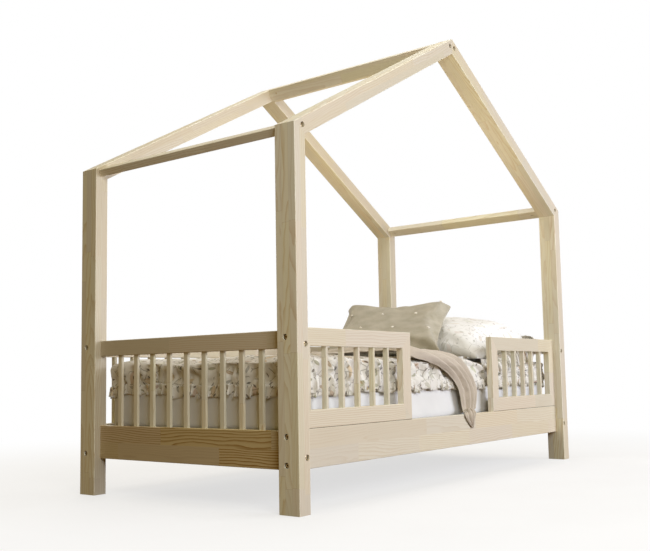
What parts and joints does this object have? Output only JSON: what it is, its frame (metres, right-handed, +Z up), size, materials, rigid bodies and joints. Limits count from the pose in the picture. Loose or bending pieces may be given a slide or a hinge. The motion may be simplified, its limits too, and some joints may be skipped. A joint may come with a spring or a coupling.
{
  "type": "house frame bed",
  "caption": "Child's floor-standing house frame bed in solid pine with mitred roof, slatted guards with an entry gap, slatted base, mattress and ruffled bedding.",
  "frame": {"origin": "on the floor, at the centre of the bed's footprint", "axes": "+X along the bed from the foot end to the head end, +Y across the bed from the entry side to the back, +Z up"},
  "size_m": [2.12, 1.076, 1.8336],
  "materials": {
    "pine_frame": "finger-jointed pine, planed and sanded, left raw or lightly oiled",
    "pine_boards": "edge-glued pine boards, planed and sanded, left raw or lightly oiled",
    "pine_base": "planed pine slats",
    "beech_tenon": "planed beech tongues",
    "bolt_steel": "zinc-plated steel",
    "webbing": "woven polyester strap",
    "sheet_cotton": "white jersey fitted sheet",
    "printed_cotton": "white cotton with a small scattered leaf and sprig print, crumpled, with ruffled edges",
    "cushion_linen": "grey-beige woven cotton with small cream knots",
    "throw_cotton": "taupe cotton blanket, soft and folded"
  },
  "bodies": {
    "root": {"post_foot_near": "pine_frame", "post_foot_far": "pine_frame", "post_head_near": "pine_frame", "post_head_far": "pine_frame", "rafter_foot_near": "pine_frame", "rafter_foot_far": "pine_frame", "rafter_head_near": "pine_frame", "rafter_head_far": "pine_frame", "ridge_beam": "pine_frame", "eave_beam_foot": "pine_frame", "eave_beam_head": "pine_frame", "foot_panel_top_rail": "pine_boards", "foot_panel_bottom_board": "pine_boards", "foot_panel_slats": "pine_boards", "head_panel_top_rail": "pine_boards", "head_panel_bottom_board": "pine_boards", "head_panel_slats": "pine_boards", "side_rail_near": "pine_boards", "side_rail_far": "pine_boards", "back_panel_top_rail": "pine_boards", "back_panel_slats": "pine_boards", "guard_foot_bottom_rail": "pine_boards", "guard_foot_top_rail": "pine_boards", "guard_foot_post_stile": "pine_boards", "guard_foot_free_stile": "pine_boards", "guard_foot_slats": "pine_boards", "guard_head_bottom_rail": "pine_boards", "guard_head_top_rail": "pine_boards", "guard_head_post_stile": "pine_boards", "guard_head_free_stile": "pine_boards", "guard_head_slats": "pine_boards", "slat_ledger_near": "pine_boards", "slat_ledger_far": "pine_boards", "base_slats": "pine_base", "base_straps": "webbing", "side_bolts": "bolt_steel", "end_bolts": "bolt_steel", "roof_bolts": "bolt_steel", "cross_dowel_nuts": "bolt_steel", "mitre_tenons": "beech_tenon", "guard_tenons": "beech_tenon", "mattress": "sheet_cotton", "duvet": "printed_cotton", "pillow": "printed_cotton", "scatter_cushion": "cushion_linen", "throw": "throw_cotton"}
  },
  "joints": []
}
